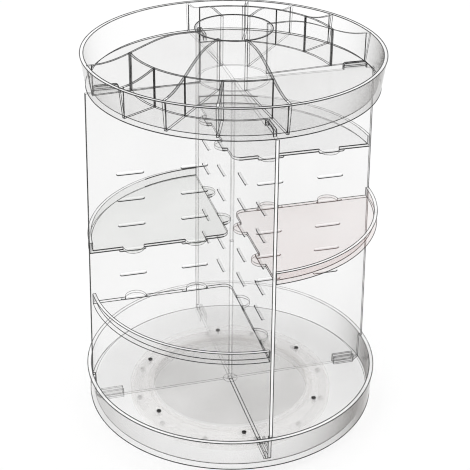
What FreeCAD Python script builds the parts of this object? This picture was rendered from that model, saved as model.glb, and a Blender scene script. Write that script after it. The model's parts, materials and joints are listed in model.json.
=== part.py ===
import FreeCAD, Part
import math
import os

# Rotating storage caddy of clear moulded plastic. Millimetres, +Z up.
# The origin is the centre of the footprint, on the surface that the caddy stands on.
# The two wall panels lie along X and Y, and everything turns about Z.

# Turntable under the dish, from the surface up
PAD_RADIUS = 5.0
PAD_HEIGHT = 1.5
PAD_RING_RADIUS = 76.0
RACE_OUTER_RADIUS = 86.0
RACE_THICKNESS = 3.5
RACE_GAP = 1.7
FOOT_INNER_RADIUS = 66.0
COLLAR_WALL = 2.0
COLLAR_RISE = 3.9
LEDGE_INNER_RADIUS = 68.4
LEDGE_OUTER_RADIUS = 71.0
LEDGE_THICKNESS = 1.8
SNAP_RING_OUTER_RADIUS = 70.4
SNAP_RING_THICKNESS = 0.9
BALL_RADIUS = 2.25
BALL_CLEARANCE = 0.15
BALL_TRACK_RADIUS = 80.0
BALL_COUNT = 12
CAGE_WIDTH = 7.0
CAGE_THICKNESS = 1.0
CAGE_POCKET_CLEARANCE = 0.1
RING_SCREW_COUNT = 6
RING_SCREW_RADIUS = 76.0
RING_SCREW_FIRST_ANGLE = 23.3
RING_SCREW_HEAD_RADIUS = 2.5
RING_SCREW_HEAD_HEIGHT = 1.2
RING_SCREW_SHANK_RADIUS = 1.3
RING_SCREW_GRIP = 2.5

# Base dish
DISH_Z = PAD_HEIGHT + 2 * RACE_THICKNESS + RACE_GAP
DISH_FLOOR = 2.2
DISH_HEIGHT = 26.3
DISH_BOTTOM_RADIUS = 120.0
DISH_RIM_RADIUS = 121.6
DISH_RIM_WIDTH = 3.0
DISH_INNER_BOTTOM_RADIUS = 117.4
DISH_FILLET = 2.5
CHANNEL_START = 94.0
CHANNEL_LENGTH = 18.0
CHANNEL_HEIGHT = 6.5
CHANNEL_WALL = 1.6
CHANNEL_CLEARANCE = 0.15

# Crossed wall panels
PANEL_THICKNESS = 2.4
PANEL_FOOT_HALF_WIDTH = 116.6
PANEL_STEP_HALF_WIDTH = 119.0
PANEL_TOP_HALF_WIDTH = 113.6
PANEL_STEP_CLEARANCE = 1.0
PANEL_FOOT_CHAMFER = 3.5
HALVING_Z = DISH_Z + 138.0
HALVING_CLEARANCE = 0.1
TOP_TAB_CENTRE = 98.0
TOP_TAB_WIDTH = 19.0
TOP_TAB_PROUD = 3.0
TOP_TAB_CORNER = 2.0

# Slots that carry the shelf trays
SLOT_LENGTH = 21.5
SLOT_HEIGHT = 2.8
SLOT_COLUMNS = (31.2, 82.0)
SLOT_ROWS = 6
LOWEST_SLOT_Z = DISH_Z + 97.8
SLOT_PITCH = 22.44

# Quarter-circle shelf trays
TRAY_RADIUS = 115.8
TRAY_FLOOR = 2.2
TRAY_HEIGHT = 9.2
TRAY_RIM_WALL = 2.4
TRAY_PANEL_GAP = 0.4
TRAY_CORNER = 7.0
TAB_RADIUS = 8.5
TAB_OFFSET = -1.25

# Top tray
TOP_Z = DISH_Z + 278.2
TOP_FLOOR = 2.2
TOP_HEIGHT = 25.0
TOP_BOTTOM_RADIUS = 111.7
TOP_RIM_RADIUS = 115.0
TOP_RIM_WIDTH = 2.6
TOP_INNER_BOTTOM_RADIUS = 109.4
TOP_FILLET = 2.5
CUP_TOP_RADIUS = 29.3
CUP_FLOOR_RADIUS = 27.8
CUP_WALL = 2.0
CUP_HEIGHT = 41.4
DIVIDER_THICKNESS = 1.8
DIVIDER_FIRST_ANGLE = 4.5
DIVIDER_SPACING = 45.0
SHORT_DIVIDER_OFFSET = 19.5
ARC_WALL_RADIUS = 80.5
CREST_RADIUS = 42.0
TROUGH_RADIUS = 108.0
CREST_Z = TOP_Z + CUP_HEIGHT
TROUGH_Z = TOP_Z + TOP_HEIGHT
TAB_SLOT_CLEARANCE = 0.2

ORIGIN = FreeCAD.Vector(0, 0, 0)
Z_AXIS = FreeCAD.Vector(0, 0, 1)
OVERRUN = 1.0


def vector(x, y, z):
    """Shorthand for a point or a direction."""
    return FreeCAD.Vector(x, y, z)


def turned(shape, degrees):
    """A copy of the shape, turned about Z."""
    copy = shape.copy()
    copy.rotate(ORIGIN, Z_AXIS, degrees)
    return copy


def revolved(profile):
    """A solid of revolution about Z from a list of (radius, z) corners."""
    wire = Part.makePolygon([vector(r, 0, z) for r, z in profile + profile[:1]])
    return Part.Face(wire).revolve(ORIGIN, Z_AXIS, 360)


def ring(inner, outer, low, high):
    """A flat ring between two radii and two heights."""
    return revolved([(inner, low), (outer, low), (outer, high), (inner, high)])


def extruded(corners, low, high):
    """A prism over a plan outline of (x, y) corners."""
    wire = Part.makePolygon([vector(x, y, low) for x, y in corners + corners[:1]])
    return Part.Face(wire).extrude(vector(0, 0, high - low))


def disc(radius, x, y, low, high):
    """An upright cylinder."""
    return Part.makeCylinder(radius, high - low, vector(x, y, low))


def on_circle(radius, degrees):
    """The plan position at a radius and an angle from +X."""
    angle = math.radians(degrees)
    return radius * math.cos(angle), radius * math.sin(angle)


def rounded_vertical(shape, radius, chosen):
    """Rounds the straight upright edges whose midpoint passes the test."""
    edges = []
    for edge in shape.Edges:
        if not isinstance(edge.Curve, Part.Line):
            continue
        ends = [vertex.Point for vertex in edge.Vertexes]
        upright = abs(ends[0].x - ends[1].x) + abs(ends[0].y - ends[1].y) < 1e-6
        if upright and chosen((ends[0] + ends[1]) * 0.5):
            edges.append(edge)
    return shape.makeFillet(radius, edges)


# Turntable

FOOT_TOP = PAD_HEIGHT + RACE_THICKNESS
UPPER_RACE_Z = FOOT_TOP + RACE_GAP
BALL_Z = FOOT_TOP + RACE_GAP / 2


def rubber_feet():
    """Six anti-slip pads under the foot ring."""
    pads = []
    for index in range(RING_SCREW_COUNT):
        x, y = on_circle(PAD_RING_RADIUS, index * 360 / RING_SCREW_COUNT)
        pads.append(disc(PAD_RADIUS, x, y, 0, PAD_HEIGHT))
    return Part.makeCompound(pads)


def ball_groove():
    """The round track that the balls run in, cut into both races."""
    return Part.makeTorus(BALL_TRACK_RADIUS, BALL_RADIUS + BALL_CLEARANCE, vector(0, 0, BALL_Z))


def foot_ring():
    """Lower race, with a collar inside it that carries the snap ring."""
    collar_radius = FOOT_INNER_RADIUS + COLLAR_WALL
    collar_top = FOOT_TOP + COLLAR_RISE
    section = [
        (FOOT_INNER_RADIUS, PAD_HEIGHT),
        (RACE_OUTER_RADIUS, PAD_HEIGHT),
        (RACE_OUTER_RADIUS, FOOT_TOP),
        (collar_radius, FOOT_TOP),
        (collar_radius, collar_top),
        (FOOT_INNER_RADIUS, collar_top),
    ]
    return revolved(section).cut(ball_groove())


def snap_ring():
    """Ring on the collar that stops the upper race from lifting off."""
    low = FOOT_TOP + COLLAR_RISE
    return ring(FOOT_INNER_RADIUS, SNAP_RING_OUTER_RADIUS, low, low + SNAP_RING_THICKNESS)


def upper_race():
    """Race under the dish, with the ledge that the snap ring holds down."""
    ledge_top = UPPER_RACE_Z + LEDGE_THICKNESS
    section = [
        (LEDGE_INNER_RADIUS, UPPER_RACE_Z),
        (RACE_OUTER_RADIUS, UPPER_RACE_Z),
        (RACE_OUTER_RADIUS, DISH_Z),
        (LEDGE_OUTER_RADIUS, DISH_Z),
        (LEDGE_OUTER_RADIUS, ledge_top),
        (LEDGE_INNER_RADIUS, ledge_top),
    ]
    return revolved(section).cut(ball_groove()).cut(ring_screws())


def ball_positions():
    """Plan positions of the bearing balls."""
    return [on_circle(BALL_TRACK_RADIUS, index * 360 / BALL_COUNT) for index in range(BALL_COUNT)]


def ball_cage():
    """Flat ring between the races, with a pocket for each ball."""
    inner = BALL_TRACK_RADIUS - CAGE_WIDTH / 2
    low = BALL_Z - CAGE_THICKNESS / 2
    cage = ring(inner, inner + CAGE_WIDTH, low, low + CAGE_THICKNESS)
    for x, y in ball_positions():
        cage = cage.cut(
            disc(BALL_RADIUS + CAGE_POCKET_CLEARANCE, x, y, low - OVERRUN, low + CAGE_THICKNESS + OVERRUN)
        )
    return cage


def bearing_balls():
    """The balls that carry the dish."""
    return Part.makeCompound([Part.makeSphere(BALL_RADIUS, vector(x, y, BALL_Z)) for x, y in ball_positions()])


def ring_screws():
    """Six screws, flush with the dish floor, that hold the upper race."""
    head_top = DISH_Z + DISH_FLOOR
    head_low = head_top - RING_SCREW_HEAD_HEIGHT
    screws = []
    for index in range(RING_SCREW_COUNT):
        angle = RING_SCREW_FIRST_ANGLE + index * 360 / RING_SCREW_COUNT
        x, y = on_circle(RING_SCREW_RADIUS, angle)
        head = disc(RING_SCREW_HEAD_RADIUS, x, y, head_low, head_top)
        shank = disc(RING_SCREW_SHANK_RADIUS, x, y, DISH_Z - RING_SCREW_GRIP, head_low)
        screws.append(head.fuse(shank).removeSplitter())
    return Part.makeCompound(screws)


# Base dish


def dish_shell(base_z, floor, height, bottom_radius, rim_radius, rim_width, inner_radius, fillet):
    """A round tray: flat floor, drafted wall and a rounded inner corner."""
    floor_top = base_z + floor
    rim_z = base_z + height
    body = revolved([(0, base_z), (bottom_radius, base_z), (rim_radius, rim_z), (0, rim_z)])
    hollow = hollow_of(floor_top, rim_z + OVERRUN, rim_z, rim_radius - rim_width, inner_radius, fillet)
    return body.cut(hollow)


def hollow_of(floor_top, top, rim_z, rim_inner_radius, inner_radius, fillet):
    """The space inside a round tray, from its floor up to a given height."""
    draft = (rim_inner_radius - inner_radius) / (rim_z - floor_top)
    top_radius = rim_inner_radius + draft * (top - rim_z)
    space = revolved([(0, floor_top), (inner_radius, floor_top), (top_radius, top), (0, top)])
    corner = [edge for edge in space.Edges if edge.BoundBox.ZMax < floor_top + 1e-6]
    return space.makeFillet(fillet, corner)


def base_dish():
    """The lower dish, bored for the ring screws."""
    shell = dish_shell(
        DISH_Z,
        DISH_FLOOR,
        DISH_HEIGHT,
        DISH_BOTTOM_RADIUS,
        DISH_RIM_RADIUS,
        DISH_RIM_WIDTH,
        DISH_INNER_BOTTOM_RADIUS,
        DISH_FILLET,
    )
    return shell.cut(ring_screws())


def panel_channels():
    """Pairs of low walls on the dish floor that hold the four panel feet."""
    near = PANEL_THICKNESS / 2 + CHANNEL_CLEARANCE
    low = DISH_Z + DISH_FLOOR
    cheeks = []
    for quarter in range(4):
        for side in (near, -near - CHANNEL_WALL):
            corner = vector(CHANNEL_START, side, low)
            cheek = Part.makeBox(CHANNEL_LENGTH, CHANNEL_WALL, CHANNEL_HEIGHT, corner)
            cheeks.append(turned(cheek, 90 * quarter))
    return Part.makeCompound(cheeks)


# Crossed panels


def slot_heights():
    """Centre heights of the slot rows, lowest first."""
    return [LOWEST_SLOT_Z + row * SLOT_PITCH for row in range(SLOT_ROWS)]


def panel_blank():
    """A panel along X with its slots and top tabs, before the halving slot."""
    foot_z = DISH_Z + DISH_FLOOR
    step_z = DISH_Z + DISH_HEIGHT + PANEL_STEP_CLEARANCE
    half = [
        (PANEL_FOOT_HALF_WIDTH - PANEL_FOOT_CHAMFER, foot_z),
        (PANEL_FOOT_HALF_WIDTH, foot_z + PANEL_FOOT_CHAMFER),
        (PANEL_FOOT_HALF_WIDTH, step_z),
        (PANEL_STEP_HALF_WIDTH, step_z),
        (PANEL_TOP_HALF_WIDTH, TOP_Z),
    ]
    outline = half + [(-x, z) for x, z in reversed(half)]
    corners = [vector(x, -PANEL_THICKNESS / 2, z) for x, z in outline + outline[:1]]
    panel = Part.Face(Part.makePolygon(corners)).extrude(vector(0, PANEL_THICKNESS, 0))
    for side in (-1, 1):
        panel = panel.fuse(top_tab(side * TOP_TAB_CENTRE))
    for z in slot_heights():
        for column in SLOT_COLUMNS:
            for x in (-column, column):
                panel = panel.cut(slot_cutter(x, z))
    return panel.removeSplitter()


def slot_cutter(x, z):
    """A slot through a panel, with half-round ends."""
    end_radius = SLOT_HEIGHT / 2
    depth = PANEL_THICKNESS + 2 * OVERRUN
    straight = SLOT_LENGTH - SLOT_HEIGHT
    corner = vector(x - straight / 2, -depth / 2, z - end_radius)
    cutter = Part.makeBox(straight, depth, SLOT_HEIGHT, corner)
    for end in (-straight / 2, straight / 2):
        start = vector(x + end, -depth / 2, z)
        cutter = cutter.fuse(Part.makeCylinder(end_radius, depth, start, vector(0, 1, 0)))
    return cutter


def top_tab(x):
    """The tab that stands up through the floor of the top tray."""
    rise = TOP_FLOOR + TOP_TAB_PROUD
    corner = vector(x - TOP_TAB_WIDTH / 2, -PANEL_THICKNESS / 2, TOP_Z - OVERRUN)
    tab = Part.makeBox(TOP_TAB_WIDTH, PANEL_THICKNESS, rise + OVERRUN, corner)
    crown = [
        edge
        for edge in tab.Edges
        if edge.BoundBox.ZMin > TOP_Z + rise - 1e-3 and edge.BoundBox.XLength < 1e-3
    ]
    return tab.makeFillet(TOP_TAB_CORNER, crown)


def halving_cutter(low, high):
    """The slot where one panel crosses the other."""
    width = PANEL_THICKNESS + 2 * HALVING_CLEARANCE
    corner = vector(-width / 2, -PANEL_THICKNESS, low)
    return Part.makeBox(width, 2 * PANEL_THICKNESS, high - low, corner)


def side_panel():
    """The panel along X, slotted from below."""
    return panel_blank().cut(halving_cutter(DISH_Z, HALVING_Z + HALVING_CLEARANCE))


def front_back_panel():
    """The panel along Y, slotted from above."""
    return turned(panel_blank().cut(halving_cutter(HALVING_Z - HALVING_CLEARANCE, TOP_Z + OVERRUN)), 90)


# Shelf trays


def shelf_tray():
    """A quarter tray for the +X +Y quadrant, with its floor centred on z = 0."""
    edge = PANEL_THICKNESS / 2 + TRAY_PANEL_GAP
    low = -TRAY_FLOOR / 2
    high = low + TRAY_HEIGHT
    reach = 2 * TRAY_RADIUS
    corner = [(edge, edge), (reach, edge), (reach, reach), (edge, reach)]
    floor = disc(TRAY_RADIUS, 0, 0, low, low + TRAY_FLOOR).common(extruded(corner, low, high))
    floor = rounded_vertical(floor, TRAY_CORNER, lambda p: p.x < edge + OVERRUN and p.y < edge + OVERRUN)
    rim = ring(TRAY_RADIUS - TRAY_RIM_WALL, TRAY_RADIUS, low, high).common(extruded(corner, low, high))
    tray = floor.fuse(rim)
    for column in SLOT_COLUMNS:
        centre = column + TAB_OFFSET
        for x, y in ((centre, edge), (edge, centre)):
            tray = tray.fuse(disc(TAB_RADIUS, x, y, low, low + TRAY_FLOOR))
    return tray.removeSplitter()


def placed_tray(quarter, row):
    """A shelf tray in a quadrant, counted from +X +Y, at a row of slots from the lowest."""
    tray = turned(shelf_tray(), 90 * quarter)
    tray.translate(vector(0, 0, slot_heights()[row]))
    return tray


# Top tray


def top_tray_dish():
    """Floor and wall of the top tray, with slots for the panel tabs."""
    dish = dish_shell(
        TOP_Z,
        TOP_FLOOR,
        TOP_HEIGHT,
        TOP_BOTTOM_RADIUS,
        TOP_RIM_RADIUS,
        TOP_RIM_WIDTH,
        TOP_INNER_BOTTOM_RADIUS,
        TOP_FILLET,
    )
    length = TOP_TAB_WIDTH + 2 * TAB_SLOT_CLEARANCE
    width = PANEL_THICKNESS + 2 * TAB_SLOT_CLEARANCE
    corner = vector(TOP_TAB_CENTRE - length / 2, -width / 2, TOP_Z - OVERRUN)
    slot = Part.makeBox(length, width, TOP_FLOOR + 2 * OVERRUN, corner)
    for quarter in range(4):
        dish = dish.cut(turned(slot, 90 * quarter))
    return dish


def cup_cone(wall):
    """The cup's outer surface as a solid, shrunk by a wall."""
    low = TOP_Z + TOP_FLOOR
    high = TOP_Z + CUP_HEIGHT
    return revolved([(0, low), (CUP_FLOOR_RADIUS - wall, low), (CUP_TOP_RADIUS - wall, high), (0, high)])


def top_cup():
    """The open cup in the middle of the top tray."""
    return cup_cone(0).cut(cup_cone(CUP_WALL))


def crest_height(radius):
    """Height of the radial walls: level by the cup, then an S down to the rim."""
    share = (radius - CREST_RADIUS) / (TROUGH_RADIUS - CREST_RADIUS)
    share = min(max(share, 0), 1)
    return TROUGH_Z + (CREST_Z - TROUGH_Z) * (1 + math.cos(math.pi * share)) / 2


def radial_wall(start, degrees):
    """An upright wall from a start radius to the rim, with the S-shaped top edge."""
    floor_top = TOP_Z + TOP_FLOOR
    steps = 12
    radii = [CREST_RADIUS + (TROUGH_RADIUS - CREST_RADIUS) * step / steps for step in range(steps + 1)]
    radii = [radius for radius in radii if radius > start]
    crest = Part.BSplineCurve()
    crest.interpolate([vector(r, -DIVIDER_THICKNESS / 2, crest_height(r)) for r in [start] + radii])
    low_start = vector(start, -DIVIDER_THICKNESS / 2, floor_top)
    high_start = vector(start, -DIVIDER_THICKNESS / 2, crest_height(start))
    high_end = vector(TOP_RIM_RADIUS, -DIVIDER_THICKNESS / 2, TROUGH_Z)
    low_end = vector(TOP_RIM_RADIUS, -DIVIDER_THICKNESS / 2, floor_top)
    trough = vector(radii[-1], -DIVIDER_THICKNESS / 2, TROUGH_Z)
    edges = [
        Part.LineSegment(low_start, high_start).toShape(),
        crest.toShape(),
        Part.LineSegment(trough, high_end).toShape(),
        Part.LineSegment(high_end, low_end).toShape(),
        Part.LineSegment(low_end, low_start).toShape(),
    ]
    wall = Part.Face(Part.Wire(edges)).extrude(vector(0, DIVIDER_THICKNESS, 0))
    return turned(wall, degrees)


def top_hollow():
    """The space inside the top tray, carried up past the cup."""
    return hollow_of(
        TOP_Z + TOP_FLOOR,
        CREST_Z + OVERRUN,
        TOP_Z + TOP_HEIGHT,
        TOP_RIM_RADIUS - TOP_RIM_WIDTH,
        TOP_INNER_BOTTOM_RADIUS,
        TOP_FILLET,
    )


def divider_angles():
    """Angles of the six long dividers, three on each side."""
    return [DIVIDER_FIRST_ANGLE + half + DIVIDER_SPACING * step for half in (0, 180) for step in range(3)]


def long_dividers():
    """Six radial walls from the cup to the rim."""
    cup = cup_cone(0)
    walls = []
    for degrees in divider_angles():
        wall = radial_wall(CUP_FLOOR_RADIUS - OVERRUN, degrees)
        walls.append(wall.common(top_hollow()).cut(cup))
    return Part.makeCompound(walls)


def arc_ring(inner, outer):
    """The ring that the concentric walls are cut from."""
    return ring(inner, outer, TOP_Z + TOP_FLOOR, crest_height(ARC_WALL_RADIUS))


def arc_walls():
    """Four concentric walls, each between two neighbouring long dividers."""
    half = DIVIDER_THICKNESS / 2
    band = arc_ring(ARC_WALL_RADIUS - half, ARC_WALL_RADIUS + half)
    low, high = TOP_Z, CREST_Z
    walls = []
    for start in divider_angles()[0:2] + divider_angles()[3:5]:
        end = start + DIVIDER_SPACING
        outline = [(0.0, 0.0), on_circle(TOP_RIM_RADIUS, start), on_circle(TOP_RIM_RADIUS, end)]
        wedge = extruded(outline, low, high)
        walls.append(band.common(wedge).cut(long_dividers()))
    return Part.makeCompound(walls)


def short_dividers():
    """Four radial walls from the concentric walls to the rim."""
    blocked = arc_ring(0, ARC_WALL_RADIUS + DIVIDER_THICKNESS / 2)
    middle = DIVIDER_FIRST_ANGLE + DIVIDER_SPACING
    walls = []
    for half in (0, 180):
        for offset in (-SHORT_DIVIDER_OFFSET, SHORT_DIVIDER_OFFSET):
            wall = radial_wall(ARC_WALL_RADIUS, middle + half + offset)
            walls.append(wall.common(top_hollow()).cut(blocked))
    return Part.makeCompound(walls)


NODES = {
    "rubber_feet": rubber_feet,
    "foot_ring": foot_ring,
    "snap_ring": snap_ring,
    "ball_cage": ball_cage,
    "bearing_balls": bearing_balls,
    "upper_race": upper_race,
    "ring_screws": ring_screws,
    "base_dish": base_dish,
    "panel_channels": panel_channels,
    "side_panel": side_panel,
    "front_back_panel": front_back_panel,
    "back_right_tray": lambda: placed_tray(0, 5),
    "back_left_tray": lambda: placed_tray(1, 2),
    "front_left_tray": lambda: placed_tray(2, 0),
    "front_right_tray": lambda: placed_tray(3, 3),
    "top_tray_dish": top_tray_dish,
    "top_cup": top_cup,
    "top_long_dividers": long_dividers,
    "top_short_dividers": short_dividers,
    "top_arc_walls": arc_walls,
}

os.makedirs("parts", exist_ok=True)
for node, make in NODES.items():
    solid = make()
    bad = [piece for piece in solid.Solids if not piece.isValid()]
    print(node, "solids", len(solid.Solids), "volume", round(solid.Volume), "invalid", len(bad))
    solid.exportStep("parts/" + node + ".step")
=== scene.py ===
import json
import logging
import math
from collections.abc import Callable
from dataclasses import dataclass
from enum import Enum

import bmesh
import bpy
from mathutils import Matrix, Vector

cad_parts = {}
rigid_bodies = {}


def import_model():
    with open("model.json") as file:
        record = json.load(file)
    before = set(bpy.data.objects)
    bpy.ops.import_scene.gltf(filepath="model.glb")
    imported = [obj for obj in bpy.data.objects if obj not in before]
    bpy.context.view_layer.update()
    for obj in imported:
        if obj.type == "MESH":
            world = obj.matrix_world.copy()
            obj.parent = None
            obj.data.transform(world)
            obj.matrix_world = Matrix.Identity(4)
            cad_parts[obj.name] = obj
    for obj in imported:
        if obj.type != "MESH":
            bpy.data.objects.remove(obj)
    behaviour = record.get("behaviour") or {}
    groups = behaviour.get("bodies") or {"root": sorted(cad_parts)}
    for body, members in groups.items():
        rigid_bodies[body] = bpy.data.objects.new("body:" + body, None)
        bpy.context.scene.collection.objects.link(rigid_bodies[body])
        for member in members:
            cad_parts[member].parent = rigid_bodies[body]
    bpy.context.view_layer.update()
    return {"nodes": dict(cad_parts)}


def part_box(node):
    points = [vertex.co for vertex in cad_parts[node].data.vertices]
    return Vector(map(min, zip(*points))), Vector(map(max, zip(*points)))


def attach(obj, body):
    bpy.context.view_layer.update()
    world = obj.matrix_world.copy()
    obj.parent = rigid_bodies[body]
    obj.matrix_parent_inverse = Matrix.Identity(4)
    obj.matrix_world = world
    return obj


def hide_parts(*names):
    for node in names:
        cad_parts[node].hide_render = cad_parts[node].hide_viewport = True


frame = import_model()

LOG = logging.getLogger("caddy")
MM = 0.001
SHARP_ANGLE = math.radians(34)
MERGE_DISTANCE = 0.004 * MM
HALF_TURNS = (0.0, math.pi)

# How far walls sink into each other, the height of a strip that only carries a line, and a face's allowance
WELD_SINK = 0.6 * MM
HAIR = 0.02 * MM
SKIN = 0.1 * MM

# Shares of a unit normal: a face that looks squarely, mostly or partly along an axis
SQUARE = 0.9
MOSTLY = 0.5
PARTLY = 0.2


# Shader nodes


class Value:
    """A number socket that can be used in Python sums."""

    def __init__(self, paint: "Paint", socket: bpy.types.NodeSocket) -> None:
        """Wraps a socket.

        Args:
            paint: The material that the socket belongs to.
            socket: The output to wrap.
        """
        self.paint = paint
        self.socket = socket

    def _math(self, operation: str, first: "Value | float", second: "Value | float") -> "Value":
        """Adds a Math node.

        Args:
            operation: The Math node's operation.
            first: Its first value.
            second: Its second value.

        Returns:
            The node's result.
        """
        return self.paint.node("ShaderNodeMath", {"operation": operation}, {0: first, 1: second})

    def __add__(self, other: "Value | float") -> "Value":
        """Sum of two values."""
        return self._math("ADD", self, other)

    __radd__ = __add__

    def __mul__(self, other: "Value | float") -> "Value":
        """Product of two values."""
        return self._math("MULTIPLY", self, other)

    __rmul__ = __mul__

    def __sub__(self, other: "Value | float") -> "Value":
        """Difference of two values."""
        return self._math("SUBTRACT", self, other)

    def __rsub__(self, other: "Value | float") -> "Value":
        """Difference, with this value taken away."""
        return self._math("SUBTRACT", other, self)

    def __pow__(self, other: "Value | float") -> "Value":
        """Power of a value."""
        return self._math("POWER", self, other)


class Paint:
    """A material's node tree and the one method that adds nodes to it."""

    def __init__(self, name: str) -> None:
        """Makes an empty node material.

        Args:
            name: The material's name.
        """
        self.material = bpy.data.materials.new(name)
        self.material.use_nodes = True
        self.tree = self.material.node_tree
        self.tree.nodes.clear()

    def node(
        self,
        kind: str,
        settings: dict[str, object] | None = None,
        inputs: dict[str | int, object] | None = None,
        output: str | int = 0,
    ) -> Value:
        """Adds a node.

        Args:
            kind: The node's type.
            settings: Attributes to set first; "stops" gives a ramp's positions and colours.
            inputs: Values or links for the node's sockets.
            output: The output to hand back.

        Returns:
            The chosen output.
        """
        made = self.tree.nodes.new(kind)
        for key, value in (settings or {}).items():
            if key == "stops":
                for stop, (position, colour) in zip(made.color_ramp.elements, value):
                    stop.position = position
                    stop.color = colour
            else:
                setattr(made, key, value)
        for key, value in (inputs or {}).items():
            if isinstance(value, Value):
                self.tree.links.new(value.socket, made.inputs[key])
            else:
                made.inputs[key].default_value = value
        return Value(self, made.outputs[output] if made.outputs else None)

    def place(self) -> Value:
        """The point on the piece, in its own coordinates."""
        return self.node("ShaderNodeTexCoord", output="Object")

    def reach(self, direction: tuple[float, float, float]) -> Value:
        """How far the point on the piece lies along a direction, in units of one over its length."""
        inputs = {0: self.place(), 1: direction}
        return self.node("ShaderNodeVectorMath", {"operation": "DOT_PRODUCT"}, inputs, "Value")

    def noise(
        self, scale: float, detail: float = 3.0, stretch: tuple[float, float, float] = (1, 1, 1)
    ) -> Value:
        """A noise pattern over the piece.

        Args:
            scale: Patches per metre.
            detail: Octaves of finer noise.
            stretch: Scale along each axis.

        Returns:
            The noise, from 0 to 1.
        """
        place = self.node("ShaderNodeMapping", inputs={"Vector": self.place(), "Scale": stretch})
        inputs = {"Vector": place, "Scale": scale, "Detail": detail}
        return self.node("ShaderNodeTexNoise", inputs=inputs)

    def bump(self, height: Value, strength: float, depth: float) -> Value:
        """A normal disturbed by a height pattern.

        Args:
            height: The pattern.
            strength: Share of the effect.
            depth: Height of the pattern in metres.

        Returns:
            The new normal.
        """
        inputs = {"Height": height, "Strength": strength, "Distance": depth}
        return self.node("ShaderNodeBump", inputs=inputs)

    def over_clear(self, shader: Value, cover: Value) -> Value:
        """A shader laid over clear plastic.

        Args:
            shader: The shader that covers.
            cover: How much of the light it stops.

        Returns:
            The mixed shader.
        """
        clear = self.node("ShaderNodeBsdfTransparent", inputs={"Color": (1, 1, 1, 1)})
        return self.node("ShaderNodeMixShader", inputs={0: cover, 1: clear, 2: shader})

    def finish(self, shader: Value) -> bpy.types.Material:
        """Joins a shader to the material's output.

        Args:
            shader: The shader to show.

        Returns:
            The finished material.
        """
        self.node("ShaderNodeOutputMaterial", inputs={"Surface": shader})
        return self.material


# Finishes

Colour = tuple[float, float, float, float]

# Directions across the caddy, one unit long at its outer radius of 120 mm, along which painted shade
# changes
RIGHTWARDS = (8.0, -2.25, 0.0)
BACKWARDS = (2.25, 8.0, 0.0)
PLASTIC_IOR = 1.49


def grey(level: float, warmth: float = 0.0) -> Colour:
    """A grey, with a little more red and less blue as warmth rises."""
    return (level * (1 + warmth), level, level * (1 - warmth), 1.0)


def uneven(pattern: Value, share: float) -> Value:
    """A factor that varies about one with a pattern from 0 to 1."""
    return 1.0 - share / 2 + share * pattern


@dataclass(frozen=True)
class ClearPlastic:
    """Clear moulded sheet: light passes straight through, and a thin haze shades it."""

    name: str
    haze_colour: Colour = grey(0.30, 0.02)
    haze: float = 0.04
    edge_on: float = 0.35
    falloff: float = 4.0
    roughness: float = 0.06
    ripple: float = 0.25
    drift: float = 1.2
    # Painted shade: how much the cover grows towards the right and towards the front
    painted_shade_right: float = 0.0
    painted_shade_front: float = 0.0
    flow_scale: float = 14.0
    flow_depth: float = 0.4 * MM
    scuff_scale: float = 900.0
    scuff_share: float = 0.10

    def material(self) -> bpy.types.Material:
        """Makes the finish.

        Returns:
            The finish as a material.
        """
        paint = Paint(self.name)
        flow = paint.noise(self.flow_scale, 2.0, (1.0, 1.0, 0.5))
        scuffs = paint.noise(self.scuff_scale, 4.0, (1.0, 1.0, 3.0))
        normal = paint.bump(flow, self.ripple, self.flow_depth)
        inputs = {"Blend": 0.5, "Normal": normal}
        facing = paint.node("ShaderNodeLayerWeight", inputs=inputs, output="Facing")
        gloss = paint.node(
            "ShaderNodeBsdfPrincipled",
            inputs={
                "Base Color": self.haze_colour,
                "Roughness": self.roughness + self.scuff_share * scuffs,
                "IOR": PLASTIC_IOR,
                "Normal": normal,
            },
        )
        cover = self.haze * uneven(flow, self.drift) + self.edge_on * facing**self.falloff
        # Painted shade: the cover grows towards the right and the front, so those sides look darker, as if
        # less lit
        if self.painted_shade_right or self.painted_shade_front:
            lean = self.painted_shade_right * paint.reach(RIGHTWARDS) - self.painted_shade_front * paint.reach(BACKWARDS)
            cover = cover * (1.0 + lean)
        return paint.finish(paint.over_clear(gloss, cover))


@dataclass(frozen=True)
class Arris:
    """The rounded edge of a clear sheet, which bends light away and looks dark."""

    name: str
    colour: Colour = grey(0.02)
    cover: float = 1.0
    patchiness: float = 1.2
    # Share of painted shade that fades the edges towards the back
    fade: float = 0.3
    patch_scale: float = 110.0
    roughness: float = 0.15

    def material(self) -> bpy.types.Material:
        """Makes the finish.

        Returns:
            The finish as a material.
        """
        paint = Paint(self.name)
        patches = paint.noise(self.patch_scale)
        gloss = paint.node(
            "ShaderNodeBsdfPrincipled",
            inputs={
                "Base Color": self.colour,
                "Roughness": self.roughness + self.roughness * patches,
                "IOR": PLASTIC_IOR,
            },
        )
        # Painted shade: edges towards the front are drawn darker and those at the back fainter, as they
        # look from the front
        nearness = 1.0 - self.fade / 2 - self.fade / 2 * paint.reach(BACKWARDS)
        cover = self.cover * uneven(patches, self.patchiness) * nearness
        return paint.finish(paint.over_clear(gloss, cover))


@dataclass(frozen=True)
class MilkyPlastic:
    """Plastic that scatters light: bright moulded edge faces and frosted rings."""

    name: str
    colour: Colour
    cover: float
    # Strength of a small emission that is painted light
    painted_glow: float
    roughness: float
    grain: float
    stretch: tuple[float, float, float] = (1.0, 1.0, 1.0)
    mottling: float = 0.3
    grain_depth: float = 0.05 * MM
    grain_share: float = 0.2

    def material(self) -> bpy.types.Material:
        """Makes the finish.

        Returns:
            The finish as a material.
        """
        paint = Paint(self.name)
        grain = paint.noise(self.grain, 4.0, self.stretch)
        body = paint.node(
            "ShaderNodeBsdfPrincipled",
            inputs={
                "Base Color": self.colour,
                "Roughness": self.roughness + self.grain_share * grain,
                "IOR": PLASTIC_IOR,
                "Normal": paint.bump(grain, self.mottling, self.grain_depth),
                # Painted light: a little emission brightens the plastic as if lit through
                "Emission Color": (1, 1, 1, 1),
                "Emission Strength": self.painted_glow,
            },
        )
        return paint.finish(paint.over_clear(body, self.cover * uneven(grain, self.mottling)))


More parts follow.
